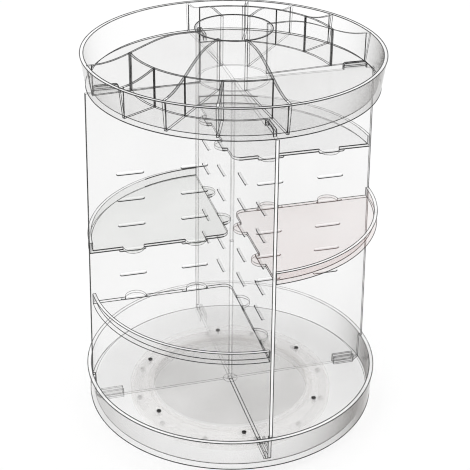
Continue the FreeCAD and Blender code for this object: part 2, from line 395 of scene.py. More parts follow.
@dataclass(frozen=True)
class SolidFinish:
    """An opaque finish with fine mottling: rubber, steel or blackened steel."""

    name: str
    dark: Colour
    light: Colour
    roughness: float
    metallic: float
    grain: float
    depth: float
    spread: tuple[float, float] = (0.3, 0.7)
    grain_share: float = 0.2
    relief: float = 0.4

    def material(self) -> bpy.types.Material:
        """Makes the finish.

        Returns:
            The finish as a material.
        """
        paint = Paint(self.name)
        grain = paint.noise(self.grain, 5.0)
        colour = paint.node(
            "ShaderNodeValToRGB",
            {"stops": tuple(zip(self.spread, (self.dark, self.light)))},
            {"Fac": grain},
        )
        body = paint.node(
            "ShaderNodeBsdfPrincipled",
            inputs={
                "Base Color": colour,
                "Roughness": self.roughness + self.grain_share * grain,
                "Metallic": self.metallic,
                "Normal": paint.bump(grain, self.relief, self.depth),
            },
        )
        return paint.finish(body)


class Slot(Enum):
    """The record's material slots."""

    CLEAR = "clear_plastic"
    FROSTED = "frosted_plastic"
    RUBBER = "rubber"
    STEEL = "steel"
    DARK_STEEL = "dark_steel"


# Geometry Nodes


class Growth:
    """A Geometry Nodes tree with named inputs, and what it grows from a mesh."""

    def __init__(self, name: str, inputs: dict[str, str]) -> None:
        """Makes a tree with a geometry input and output.

        Args:
            name: The tree's name.
            inputs: Each further input's name and socket type.
        """
        self.tree = bpy.data.node_groups.new(name, "GeometryNodeTree")
        self.tree.interface.new_socket("Geometry", in_out="INPUT", socket_type="NodeSocketGeometry")
        self.tree.interface.new_socket("Geometry", in_out="OUTPUT", socket_type="NodeSocketGeometry")
        for label, kind in inputs.items():
            self.tree.interface.new_socket(label, in_out="INPUT", socket_type=kind)
        self.entry = self.tree.nodes.new("NodeGroupInput")

    def given(self, label: str) -> bpy.types.NodeSocket:
        """One of the tree's named inputs."""
        return self.entry.outputs[label]

    def node(
        self,
        kind: str,
        settings: dict[str, object] | None = None,
        inputs: dict[str | int, object] | None = None,
        output: str | int = 0,
    ) -> bpy.types.NodeSocket:
        """Adds a node.

        Args:
            kind: The node's type.
            settings: Attributes to set first.
            inputs: Values or links for the node's sockets; a list links several.
            output: The output to hand back.

        Returns:
            The chosen output.
        """
        made = self.tree.nodes.new(kind)
        for key, value in (settings or {}).items():
            setattr(made, key, value)
        for key, value in (inputs or {}).items():
            for one in value if isinstance(value, list) else [value]:
                if isinstance(one, bpy.types.NodeSocket):
                    self.tree.links.new(one, made.inputs[key])
                else:
                    made.inputs[key].default_value = one
        return made.outputs[output]

    def close(
        self, geometry: bpy.types.NodeSocket, material: bpy.types.NodeSocket
    ) -> bpy.types.NodeSocket:
        """Realizes the instances and sets their material.

        Args:
            geometry: What the tree has made.
            material: The material to set.

        Returns:
            The finished geometry.
        """
        whole = self.node("GeometryNodeRealizeInstances", inputs={"Geometry": geometry})
        return self.node("GeometryNodeSetMaterial", inputs={"Geometry": whole, "Material": material})

    def end(self, geometry: bpy.types.NodeSocket) -> None:
        """Sends a geometry to the tree's output."""
        out = self.tree.nodes.new("NodeGroupOutput")
        self.tree.links.new(geometry, out.inputs[0])

    def grow(self, seed: bpy.types.Mesh, values: dict[str, object]) -> bpy.types.Mesh:
        """Runs the tree on a mesh.

        Args:
            seed: The mesh that the tree starts from.
            values: A value for each named input.

        Returns:
            The result as a plain mesh.
        """
        carrier = bpy.data.objects.new("growth", seed)
        bpy.context.scene.collection.objects.link(carrier)
        modifier = carrier.modifiers.new("growth", "NODES")
        modifier.node_group = self.tree
        for item in self.tree.interface.items_tree:
            if item.item_type == "SOCKET" and item.in_out == "INPUT" and item.name in values:
                modifier[item.identifier] = values[item.name]
        bpy.context.view_layer.update()
        graph = bpy.context.evaluated_depsgraph_get()
        grown = bpy.data.meshes.new_from_object(carrier.evaluated_get(graph))
        carrier.modifiers.remove(modifier)
        bpy.data.objects.remove(carrier)
        return grown


def arris_growth() -> Growth:
    """A tree that lays a thin round bead along every sharp edge.

    Returns:
        The tree.
    """
    growth = Growth(
        "arris_beads",
        {
            "Bead Radius": "NodeSocketFloat",
            "Bead Sides": "NodeSocketInt",
            "Sharpness": "NodeSocketFloat",
            "Material": "NodeSocketMaterial",
        },
    )
    angle = growth.node("GeometryNodeInputMeshEdgeAngle")
    sharp = growth.node(
        "FunctionNodeCompare",
        {"data_type": "FLOAT", "operation": "GREATER_THAN"},
        {0: angle, 1: growth.given("Sharpness")},
    )
    path = growth.node("GeometryNodeMeshToCurve", inputs={0: growth.given("Geometry"), 1: sharp})
    section = growth.node(
        "GeometryNodeCurvePrimitiveCircle",
        inputs={"Resolution": growth.given("Bead Sides"), "Radius": growth.given("Bead Radius")},
    )
    bead = growth.node(
        "GeometryNodeCurveToMesh",
        inputs={"Curve": path, "Profile Curve": section, "Fill Caps": True},
    )
    growth.end(growth.close(bead, growth.given("Material")))
    return growth


def circle_growth() -> Growth:
    """A tree that repeats its mesh evenly round Z.

    Returns:
        The tree.
    """
    growth = Growth(
        "ring_of_copies",
        {
            "Count": "NodeSocketInt",
            "Radius": "NodeSocketFloat",
            "First Angle": "NodeSocketFloat",
            "Height": "NodeSocketFloat",
            "Material": "NodeSocketMaterial",
        },
    )

    def sum_of(operation: str, first: object, second: object = 0.0) -> bpy.types.NodeSocket:
        """The result of a Math node."""
        return growth.node("ShaderNodeMath", {"operation": operation}, {0: first, 1: second})

    points = growth.node("GeometryNodePoints", inputs={"Count": growth.given("Count")})
    step = sum_of("DIVIDE", 2 * math.pi, growth.given("Count"))
    turn = sum_of("MULTIPLY", growth.node("GeometryNodeInputIndex"), step)
    angle = sum_of("ADD", turn, growth.given("First Angle"))
    x = sum_of("MULTIPLY", sum_of("COSINE", angle), growth.given("Radius"))
    y = sum_of("MULTIPLY", sum_of("SINE", angle), growth.given("Radius"))
    spot = growth.node("ShaderNodeCombineXYZ", inputs={"X": x, "Y": y, "Z": growth.given("Height")})
    placed = growth.node("GeometryNodeSetPosition", inputs={"Geometry": points, "Position": spot})
    spin = growth.node("ShaderNodeCombineXYZ", inputs={"Z": angle})
    copies = growth.node(
        "GeometryNodeInstanceOnPoints",
        inputs={"Points": placed, "Instance": growth.given("Geometry"), "Rotation": spin},
    )
    growth.end(growth.close(copies, growth.given("Material")))
    return growth


# Meshes

Profile = list[tuple[float, float]]


class Shape:
    """Mesh builders in metres, in the frame's own coordinates."""

    @staticmethod
    def from_bmesh(name: str, made: bmesh.types.BMesh) -> bpy.types.Mesh:
        """Turns a bmesh into a mesh with its faces pointing outwards.

        Args:
            name: The mesh's name.
            made: The bmesh, which is freed.

        Returns:
            The mesh.
        """
        bmesh.ops.recalc_face_normals(made, faces=made.faces)
        mesh = bpy.data.meshes.new(name)
        made.to_mesh(mesh)
        made.free()
        return mesh

    @staticmethod
    def lathe(name: str, profile: Profile, sides: int) -> bpy.types.Mesh:
        """Turns a closed profile round Z.

        Args:
            name: The mesh's name.
            profile: Corners as (radius, z); corners on the axis become poles.
            sides: Steps round the axis.

        Returns:
            The closed mesh.
        """
        made = bmesh.new()
        rings: list[list[bmesh.types.BMVert]] = []
        for radius, z in profile:
            if radius < MERGE_DISTANCE:
                rings.append([made.verts.new((0, 0, z))])
                continue
            turns = [2 * math.pi * step / sides for step in range(sides)]
            rings.append([made.verts.new((radius * math.cos(a), radius * math.sin(a), z)) for a in turns])
        for lower, upper in zip(rings, rings[1:] + rings[:1]):
            if len(lower) == 1 and len(upper) == 1:
                continue
            for step in range(sides):
                after = (step + 1) % sides
                corners = [lower[step % len(lower)], lower[after % len(lower)]]
                corners += [upper[after % len(upper)], upper[step % len(upper)]]
                unique = list(dict.fromkeys(corners))
                made.faces.new(unique)
        return Shape.from_bmesh(name, made)

    @staticmethod
    def prism(name: str, outline: list[Vector], through: Vector) -> bpy.types.Mesh:
        """Pushes a flat outline along a vector.

        Args:
            name: The mesh's name.
            outline: The corners in order.
            through: How far the outline moves.

        Returns:
            The closed mesh.
        """
        made = bmesh.new()
        near = [made.verts.new(corner) for corner in outline]
        far = [made.verts.new(corner + through) for corner in outline]
        made.faces.new(near)
        made.faces.new(list(reversed(far)))
        for step in range(len(outline)):
            after = (step + 1) % len(outline)
            made.faces.new([near[after], near[step], far[step], far[after]])
        return Shape.from_bmesh(name, made)

    @staticmethod
    def cad_copy(node: str) -> bpy.types.Mesh:
        """A merged copy of a CAD node's mesh.

        Args:
            node: The CAD node.

        Returns:
            The copy, with flat faces made whole.
        """
        made = bmesh.new()
        made.from_mesh(frame["nodes"][node].data)
        bmesh.ops.remove_doubles(made, verts=made.verts, dist=MERGE_DISTANCE)
        mesh = bpy.data.meshes.new(node)
        made.to_mesh(mesh)
        made.free()
        mesh.materials.clear()
        imported = mesh.attributes.get("custom_normal")
        if imported:
            mesh.attributes.remove(imported)
        return mesh

    @staticmethod
    def without(mesh: bpy.types.Mesh, dropped: Callable[[Vector, Vector], bool]) -> bpy.types.Mesh:
        """A copy of a mesh with some faces left out, so that their edges aren't drawn.

        Args:
            mesh: The mesh.
            dropped: Tells from a face's centre and normal whether it is left out.

        Returns:
            The copy.
        """
        made = bmesh.new()
        made.from_mesh(mesh)
        made.normal_update()
        gone = [face for face in made.faces if dropped(face.calc_center_median(), face.normal)]
        bmesh.ops.delete(made, geom=gone, context="FACES_ONLY")
        copy = bpy.data.meshes.new(mesh.name)
        made.to_mesh(copy)
        made.free()
        return copy

    @staticmethod
    def upright(feet: list[Vector], top: float) -> bpy.types.Mesh:
        """Upright blades, each with one sharp edge that is drawn as a post.

        Args:
            feet: Where the posts stand.
            top: Height of their tops.

        Returns:
            The blades.
        """
        made = bmesh.new()
        reach = HAIR / 2
        for foot in feet:
            spine = [made.verts.new((foot.x, foot.y, z)) for z in (foot.z, top)]
            for side in ((reach, 0), (0, reach)):
                edge = [made.verts.new((foot.x + side[0], foot.y + side[1], z)) for z in (top, foot.z)]
                made.faces.new(spine + edge)
        mesh = bpy.data.meshes.new("posts")
        made.to_mesh(mesh)
        made.free()
        return mesh

    @staticmethod
    def disc(radius: float, low: float, high: float, sides: int) -> bpy.types.Mesh:
        """A flat disc round Z, for its sharp edges."""
        return Shape.lathe("disc", [(0.0, low), (radius, low), (radius, high), (0.0, high)], sides)

    @staticmethod
    def block(low: Vector, high: Vector) -> bpy.types.Mesh:
        """A block between two opposite corners.

        Args:
            low: Its lowest corner.
            high: Its highest corner.

        Returns:
            The closed mesh.
        """
        corners = ((low.x, low.y), (high.x, low.y), (high.x, high.y), (low.x, high.y))
        outline = [Vector((x, y, low.z)) for x, y in corners]
        return Shape.prism("block", outline, Vector((0, 0, high.z - low.z)))

    @staticmethod
    def quarters(mesh: bpy.types.Mesh) -> list[bpy.types.Mesh]:
        """Four copies of a mesh, a quarter turn apart."""
        return [Shape.turned(mesh, quarter * math.pi / 2) for quarter in range(4)]

    @staticmethod
    def turned(mesh: bpy.types.Mesh, angle: float) -> bpy.types.Mesh:
        """A copy of a mesh, turned about Z.

        Args:
            mesh: The mesh.
            angle: How far it turns.

        Returns:
            The copy.
        """
        copy = mesh.copy()
        copy.transform(Matrix.Rotation(angle, 4, "Z"))
        return copy

    @staticmethod
    def combined(base: bpy.types.Mesh, others: list[bpy.types.Mesh], operation: str) -> bpy.types.Mesh:
        """Unites other meshes with a base, or cuts them from it.

        Args:
            base: The mesh to start from.
            others: The meshes to unite or cut.
            operation: UNION or DIFFERENCE.

        Returns:
            One closed mesh.
        """
        carrier = bpy.data.objects.new("base", base)
        bpy.context.scene.collection.objects.link(carrier)
        tools = bpy.data.collections.new("tools")
        bpy.context.scene.collection.children.link(tools)
        for number, other in enumerate(others):
            tools.objects.link(bpy.data.objects.new(f"tool_{number}", other))
        modifier = carrier.modifiers.new("combined", "BOOLEAN")
        modifier.operation = operation
        modifier.operand_type = "COLLECTION"
        modifier.collection = tools
        modifier.solver = "EXACT"
        modifier.use_self = False
        bpy.context.view_layer.update()
        graph = bpy.context.evaluated_depsgraph_get()
        result = bpy.data.meshes.new_from_object(carrier.evaluated_get(graph))
        carrier.modifiers.remove(modifier)
        for tool in list(tools.objects):
            bpy.data.objects.remove(tool)
        bpy.data.collections.remove(tools)
        bpy.data.objects.remove(carrier)
        result.materials.clear()
        return result


@dataclass
class Lines:
    """The sharp edges of a mesh, drawn as thin beads."""

    mesh: bpy.types.Mesh
    radius: float
    finish: bpy.types.Material


@dataclass
class Workshop:
    """Finishes and node trees that all the sub-assemblies share."""

    sheet: bpy.types.Material
    sheet_painted_lighter: bpy.types.Material
    milky: bpy.types.Material
    dark: bpy.types.Material
    low_dark: bpy.types.Material
    faint: bpy.types.Material
    stroke: bpy.types.Material
    shade: bpy.types.Material
    slot_floor: bpy.types.Material
    beads: Growth
    circles: Growth
    bead_sides: int = 6

    def piece(
        self,
        name: str,
        mesh: bpy.types.Mesh,
        body: str,
        slot: Slot,
        nodes: tuple[str, ...] = (),
    ) -> bpy.types.Object:
        """Makes a finished mesh into a piece of the caddy.

        Args:
            name: The piece's name.
            mesh: Its mesh, with its materials.
            body: The body that it rides on.
            slot: The record's slot that its finish comes from; not used.
            nodes: The CAD nodes that it stands for.

        Returns:
            The piece.
        """
        mesh.name = name
        made = bpy.data.objects.new(name, mesh)
        bpy.context.scene.collection.objects.link(made)
        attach(made, body)
        if nodes:
            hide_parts(*nodes)
        LOG.info("%s: %d faces on %s", name, len(mesh.polygons), body)
        return made

    def smoothed(self, mesh: bpy.types.Mesh, *materials: bpy.types.Material) -> bpy.types.Mesh:
        """Shades a mesh smooth up to its sharp edges and gives it its materials.

        Args:
            mesh: The mesh.
            materials: Its materials, in slot order.

        Returns:
            The same mesh.
        """
        mesh.shade_smooth()
        mesh.set_sharp_from_angle(angle=SHARP_ANGLE)
        for material in materials:
            mesh.materials.append(material)
        return mesh

    def moulding(
        self,
        name: str,
        mesh: bpy.types.Mesh,
        body: str,
        nodes: tuple[str, ...],
        materials: list[bpy.types.Material],
        choose: Callable[[Vector, Vector], int],
        lines: list[Lines],
    ) -> None:
        """Makes a clear moulding and the beads along its arrises.

        Args:
            name: The piece's name.
            mesh: The moulding's closed mesh.
            body: The body that it rides on.
            nodes: The CAD nodes that it stands for.
            materials: The moulding's materials.
            choose: Tells from a face's centre and normal which material it takes.
            lines: The edges that are drawn, and how.
        """
        self.smoothed(mesh, *materials)
        for face in mesh.polygons:
            face.material_index = choose(face.center, face.normal)
        self.piece(name, mesh, body, Slot.CLEAR, nodes)
        self.piece(name + "_arrises", self.drawn(lines), body, Slot.CLEAR)

    def drawn(self, lines: list[Lines]) -> bpy.types.Mesh:
        """All the beads of a moulding as one mesh.

        Args:
            lines: The edges that are drawn, and how.

        Returns:
            The beads, with their materials.
        """
        whole = bmesh.new()
        finishes = list(dict.fromkeys(line.finish for line in lines))
        for line in lines:
            values = {
                "Bead Radius": line.radius,
                "Bead Sides": self.bead_sides,
                "Sharpness": SHARP_ANGLE,
                "Material": line.finish,
            }
            beads = self.beads.grow(line.mesh.copy(), values)
            for face in beads.polygons:
                face.material_index = finishes.index(line.finish)
            whole.from_mesh(beads)
        mesh = bpy.data.meshes.new("beads")
        whole.to_mesh(mesh)
        whole.free()
        mesh.shade_smooth()
        for finish in finishes:
            mesh.materials.append(finish)
        return mesh


# Sub-assemblies


@dataclass
class Turntable:
    """Two races with balls between them, on rubber pads, screwed to the base dish."""

    shop: Workshop
    ball_count: int = 12
    ball_radius: float = 2.25 * MM
    track_radius: float = 80.0 * MM
    pad_count: int = 6
    pad_radius: float = 5.0 * MM
    pad_chamfer: float = 0.4 * MM
    pad_ring_radius: float = 76.0 * MM
    screw_count: int = 6
    screw_radius: float = 76.0 * MM
    screw_first_angle: float = math.radians(23.3)
    head_radius: float = 1.9 * MM
    head_height: float = 1.2 * MM
    head_crown: float = 0.2 * MM
    head_chamfer: float = 0.3 * MM
    head_sides: int = 32
    shank_radius: float = 1.3 * MM
    recess_half_width: float = 0.35 * MM
    recess_reach: float = 1.2 * MM
    recess_depth: float = 0.7 * MM

    def build(self) -> None:
        """Makes every piece of the turntable."""
        self.rings()
        self.balls()
        self.pads()
        self.screws()

    def rings(self) -> None:
        """The races, the snap ring and the ball cage."""
        race = MilkyPlastic("frosted race", (0.90, 0.89, 0.88, 1), 0.25, 0.06, 0.38, 1400.0).material()
        cage = MilkyPlastic("milky cage", (0.85, 0.85, 0.85, 1), 0.18, 0.1, 0.45, 900.0).material()
        for node, body, finish in (
            ("foot_ring", "foot", race),
            ("snap_ring", "foot", race),
            ("upper_race", "carousel", race),
            ("ball_cage", "ball_cage", cage),
        ):
            mesh = self.shop.smoothed(Shape.cad_copy(node), finish)
            self.shop.piece(node + "_moulding", mesh, body, Slot.FROSTED, (node,))

    def repeated(self, seed: bpy.types.Mesh, values: dict[str, object]) -> bpy.types.Mesh:
        """Copies of a small part round the ring.

        Args:
            seed: The small part, at the origin.
            values: The ring's named inputs.

        Returns:
            All the copies as one mesh.
        """
        mesh = self.shop.circles.grow(seed, values)
        mesh.shade_smooth()
        mesh.set_sharp_from_angle(angle=SHARP_ANGLE)
        return mesh

    def balls(self) -> None:
        """The bearing balls."""
        low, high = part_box("bearing_balls")
        made = bmesh.new()
        bmesh.ops.create_uvsphere(made, u_segments=32, v_segments=20, radius=self.ball_radius)
        steel = SolidFinish(
            "polished steel", grey(0.55), grey(0.68), 0.08, 1.0, 300.0, 0.01 * MM
        ).material()
        values = {
            "Count": self.ball_count,
            "Radius": self.track_radius,
            "First Angle": 0.0,
            "Height": (low.z + high.z) / 2,
            "Material": steel,
        }
        mesh = self.repeated(Shape.from_bmesh("ball", made), values)
        self.shop.piece("steel_bearing_balls", mesh, "ball_cage", Slot.STEEL, ("bearing_balls",))

    def pads(self) -> None:
        """The anti-slip pads, chamfered at the foot."""
        low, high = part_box("rubber_feet")
        outline = [
            (0.0, low.z),
            (self.pad_radius - self.pad_chamfer, low.z),
            (self.pad_radius, low.z + self.pad_chamfer),
            (self.pad_radius, high.z),
            (0.0, high.z),
        ]
        rubber = MilkyPlastic("milky silicone", grey(0.85), 0.3, 0.12, 0.6, 2500.0).material()
        values = {
            "Count": self.pad_count,
            "Radius": self.pad_ring_radius,
            "First Angle": 0.0,
            "Height": 0.0,
            "Material": rubber,
        }
        mesh = self.repeated(Shape.lathe("pad", outline, 48), values)
        self.shop.piece("rubber_foot_pads", mesh, "foot", Slot.RUBBER, ("rubber_feet",))

    def screws(self) -> None:
        """The screws that hold the upper race, each with a crossed recess."""
        low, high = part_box("ring_screws")
        under_head = high.z - self.head_height
        outline = [
            (0.0, low.z),
            (self.shank_radius, low.z),
            (self.shank_radius, under_head),
            (self.head_radius, under_head),
            (self.head_radius, high.z - self.head_crown),
            (self.head_radius - self.head_chamfer, high.z),
            (0.0, high.z),
        ]
        screw = Shape.lathe("screw", outline, self.head_sides)
        bottom = high.z - self.recess_depth
        arm = Vector((self.recess_reach, self.recess_half_width, 0))
        base = Vector((0, 0, bottom))
        bar = Shape.block(base - arm, base + arm + Vector((0, 0, 2 * self.recess_depth)))
        screw = Shape.combined(screw, [bar, Shape.turned(bar, math.pi / 2)], "DIFFERENCE")
        black = SolidFinish(
            "blackened steel", grey(0.02), grey(0.06), 0.35, 0.7, 1800.0, 0.02 * MM
        ).material()
        values = {
            "Count": self.screw_count,
            "Radius": self.screw_radius,
            "First Angle": self.screw_first_angle,
            "Height": 0.0,
            "Material": black,
        }
        mesh = self.repeated(screw, values)
        zinc = SolidFinish("bright zinc", grey(0.80), grey(0.90), 0.25, 1.0, 900.0, 0.01 * MM).material()
        mesh.materials.clear()
        mesh.materials.append(black)
        mesh.materials.append(zinc)
        for face in mesh.polygons:
            face.material_index = int(face.center.z < under_head)
        self.shop.piece("black_ring_screws", mesh, "carousel", Slot.DARK_STEEL, ("ring_screws",))


@dataclass
class Dish:
    """Profile of a round tray with a drafted wall and a rounded inner corner."""

    node: str
    floor: float
    bottom_radius: float
    rim_radius: float
    rim_width: float
    inner_radius: float
    fillet: float = 2.5 * MM
    # Radius of a ring of corners; inside it the base dish's floor carries a painted shadow
    middle: float = 66.0 * MM
    sides: int = 240
    fillet_steps: int = 6
    edge_rise: float = 0.15
    edge_inset: float = 0.3

    def __post_init__(self) -> None:
        """Takes the heights from the frame."""
        low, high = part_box(self.node)
        self.base_z, self.rim_z = low.z, high.z
        self.floor_top = low.z + self.floor

    def profile(self) -> Profile:
        """The section, as (radius, z) corners.

        Returns:
            The corners in order from the axis outwards.
        """
        rim_inner = self.rim_radius - self.rim_width
        lean = math.atan2(rim_inner - self.inner_radius, self.rim_z - self.floor_top)
        run = self.fillet * math.tan((math.pi / 2 - lean) / 2)
        centre = (self.inner_radius - run, self.floor_top + self.fillet)
        corners: Profile = [
            (0.0, self.base_z),
            (self.middle, self.base_z),
            (self.bottom_radius, self.base_z),
            (self.rim_radius, self.rim_z),
            (rim_inner, self.rim_z),
        ]
        sweep = math.pi / 2 - lean
        for step in range(self.fillet_steps + 1):
            turn = -lean - sweep * step / self.fillet_steps
            across, up = self.fillet * math.cos(turn), self.fillet * math.sin(turn)
            corners.append((centre[0] + across, centre[1] + up))
        return corners + [(self.middle, self.floor_top), (0.0, self.floor_top)]

    def mesh(self) -> bpy.types.Mesh:
        """The plain dish."""
        return Shape.lathe(self.node, self.profile(), self.sides)

    def part_of(self, centre: Vector, normal: Vector) -> int:
        """Which part of the dish a face is.

        Args:
            centre: The face's centre.
            normal: Its normal.

        Returns:
            0 for the floor, 1 for the wall, 2 for the top of the rim.
        """
        if centre.xy.length <= self.inner_radius - self.fillet:
            return 0
        return 2 if normal.z > SQUARE and centre.z > self.rim_z - SKIN else 1

    def floor_edge(self) -> bpy.types.Mesh:
        """A very thin disc whose edge marks where the floor turns up into the wall.

        Returns:
            The disc, for its sharp edges.
        """
        z = self.floor_top + self.edge_rise * self.fillet
        radius = self.inner_radius - self.edge_inset * self.fillet
        return Shape.disc(radius, z - HAIR / 2, z, self.sides)

    def inner_radius_at(self, z: float) -> float:
        """Inner radius of the wall at a height."""
        share = (z - self.floor_top) / (self.rim_z - self.floor_top)
        return self.inner_radius + (self.rim_radius - self.rim_width - self.inner_radius) * share


@dataclass
class BaseDish:
    """The lower dish, with the channels that hold the panels' feet."""

    shop: Workshop
    floor: float = 2.2 * MM
    bottom_radius: float = 120.0 * MM
    rim_radius: float = 121.6 * MM
    rim_width: float = 3.0 * MM
    inner_radius: float = 117.4 * MM
    channel_start: float = 94.0 * MM
    channel_length: float = 18.0 * MM
    channel_height: float = 6.5 * MM
    channel_wall: float = 1.6 * MM
    channel_gap: float = 1.35 * MM
    gate_radii: tuple[float, float] = (2.4 * MM, 6.0 * MM)
    gate_sides: int = 32
    bead: float = 0.42 * MM
    floor_bead: float = 0.25 * MM
    channel_bead: float = 0.22 * MM
    gate_bead: float = 0.16 * MM

    def __post_init__(self) -> None:
        """Sets out the dish."""
        sizes = (self.floor, self.bottom_radius, self.rim_radius, self.rim_width, self.inner_radius)
        self.dish = Dish("base_dish", *sizes)

    def part_of(self, centre: Vector, normal: Vector) -> int:
        """0 for the floor, 1 for the wall, 2 for the rim, 3 for the rougher middle, darkened as painted
        shadow.
        """
        # Painted shadow: the floor's middle, inside the turntable ring, is darkened
        in_middle = centre.xy.length < self.dish.middle and abs(normal.z) > SQUARE
        return 3 if in_middle else self.dish.part_of(centre, normal)

    def build(self) -> None:
        """Makes the dish and its channels as one moulding."""
        shop, dish = self.shop, self.dish
        nodes = ("base_dish", "panel_channels")
        mesh = Shape.combined(dish.mesh(), self.cheeks(), "UNION")
        # Painted shade: the floor darkens towards the right, and the wall towards the right and the front
        materials = [
            ClearPlastic("clear dish floor", grey(0.30, 0.03), 0.07, 0.2, 3.0, painted_shade_right=0.3).material(),
            ClearPlastic(
                "clear base wall", grey(0.20, 0.05), 0.008, 1.2, 3.3, painted_shade_right=0.8, painted_shade_front=0.6
            ).material(),
            shop.milky,
            # Painted shadow under the middle of the dish
            ClearPlastic("dish middle painted shadow", grey(0.30, 0.05), 0.22, 0.2, 3.0, 0.2).material(),
        ]
        shop.moulding("base_dish_moulding", mesh, "carousel", nodes, materials, self.part_of, self.lines())

    def lines(self) -> list[Lines]:
        """The lines of the rim, the floor's edge, the channels and the gate.

        Returns:
            The lines.
        """
        shop, dish = self.shop, self.dish
        lines = [
            Lines(dish.mesh(), self.bead, shop.low_dark),
            Lines(dish.floor_edge(), self.floor_bead, shop.faint),
        ]
        for cheek in self.cheeks():
            corner = cheek.vertices[0].co
            near = corner.x > self.channel_start / 2 or corner.y < -self.channel_start / 2
            lines.append(Lines(cheek, self.channel_bead, shop.dark if near else shop.faint))
        for radius in self.gate_radii:
            gate = Shape.disc(radius, dish.floor_top - WELD_SINK, dish.floor_top, self.gate_sides)
            lines.append(Lines(gate, self.gate_bead, shop.faint))
        return lines

    def cheeks(self) -> list[bpy.types.Mesh]:
        """The eight channel walls, sunk a little into the floor.

        Returns:
            The walls.
        """
        made = []
        size = Vector((self.channel_length, self.channel_wall, self.channel_height + WELD_SINK))
        for side in (self.channel_gap, -self.channel_gap - self.channel_wall):
            corner = Vector((self.channel_start, side, self.dish.floor_top - WELD_SINK))
            made += Shape.quarters(Shape.block(corner, corner + size))
        return made


@dataclass
class Panel:
    """One of the two slotted panels that cross on the axis."""

    shop: Workshop
    node: str
    axis: int
    sheet: bpy.types.Material
    end_reach: float = 110.0 * MM
    slots_from: float = 15.0 * MM
    slots_to: float = 105.0 * MM
    slots_low: float = 100.0 * MM
    slots_high: float = 226.0 * MM
    foot: float = 1.0 * MM
    halving_reach: float = 6.0 * MM
    half_thickness: float = 1.3 * MM
    foot_end: float = 94.0 * MM
    bead: float = 0.36 * MM
    faint_bead: float = 0.22 * MM
    slot_bead: float = 0.38 * MM
    tab_bead: float = 0.32 * MM

    def __post_init__(self) -> None:
        """Takes the heights from the frame."""
        self.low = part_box(self.node)[0].z
        self.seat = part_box("top_tray_dish")[0].z

    def front_foot(self) -> bpy.types.Mesh:
        """A very low strip for the foot line that runs from the axis to the front."""
        corner = Vector((self.half_thickness, -self.half_thickness, self.low + HAIR))
        return Shape.block(Vector((-self.half_thickness, -self.foot_end, self.low)), corner)

    def in_slot(self, centre: Vector, normal: Vector) -> bool:
        """Whether a face lies inside one of the side slots.

        Args:
            centre: The face's centre.
            normal: Its normal.

        Returns:
            True inside a slot.
        """
        across = self.slots_from < abs(centre[self.axis]) < self.slots_to
        inward = abs(normal[1 - self.axis]) < MOSTLY
        return across and inward and self.slots_low < centre.z < self.slots_high

    def part_of(self, centre: Vector, normal: Vector) -> int:
        """Which part of the panel a face is.

        Args:
            centre: The face's centre.
            normal: Its normal.

        Returns:
            0 for the sheet, 1 for its upright ends, 2 for the floors of the slots and the tabs.
        """
        if abs(centre[self.axis]) > self.end_reach and abs(normal[self.axis]) > SQUARE:
            return 1
        slot_floor = self.in_slot(centre, normal) and normal.z > PARTLY
        return 2 if slot_floor or centre.z > self.seat + self.foot else 0

    def quiet(self, centre: Vector, normal: Vector) -> bool:
        """Whether a face's edges stay faint.

        Args:
            centre: The face's centre.
            normal: Its normal.

        Returns:
            True at the seat, the halving slot, a side slot or a foot.
        """
        at_seat = abs(normal.z) > MOSTLY and abs(centre.z - self.seat) < self.foot
        at_foot = normal.z < -MOSTLY and centre.z < self.low + self.foot
        halved = centre.xy.length < self.halving_reach and abs(normal[1 - self.axis]) < MOSTLY
        return at_seat or at_foot or halved or self.in_slot(centre, normal)

    def not_slot_line(self, centre: Vector, normal: Vector) -> bool:
        """Whether a face is anything but one flat side or the floor of a slot."""
        return normal[1 - self.axis] > -MOSTLY and self.part_of(centre, normal) != 2

    def below_tab(self, centre: Vector, normal: Vector) -> bool:
        """Whether a face isn't part of a top tab."""
        return centre.z < self.seat + self.foot / 2

    def build(self) -> None:
        """Makes the panel."""
        shop = self.shop
        mesh = Shape.cad_copy(self.node)
        lines = [
            Lines(Shape.without(mesh, self.quiet), self.bead, shop.low_dark),
            Lines(Shape.without(mesh, self.in_slot), self.faint_bead, shop.faint),
            Lines(Shape.without(mesh, self.not_slot_line), self.slot_bead, shop.stroke),
            Lines(Shape.without(mesh, self.below_tab), self.tab_bead, shop.stroke),
        ]
        if self.axis == 1:
            lines.append(Lines(self.front_foot(), self.bead, shop.dark))
        materials = [self.sheet, shop.milky, shop.slot_floor]
        name = self.node + "_sheet"
        shop.moulding(name, mesh, "carousel", (self.node,), materials, self.part_of, lines)


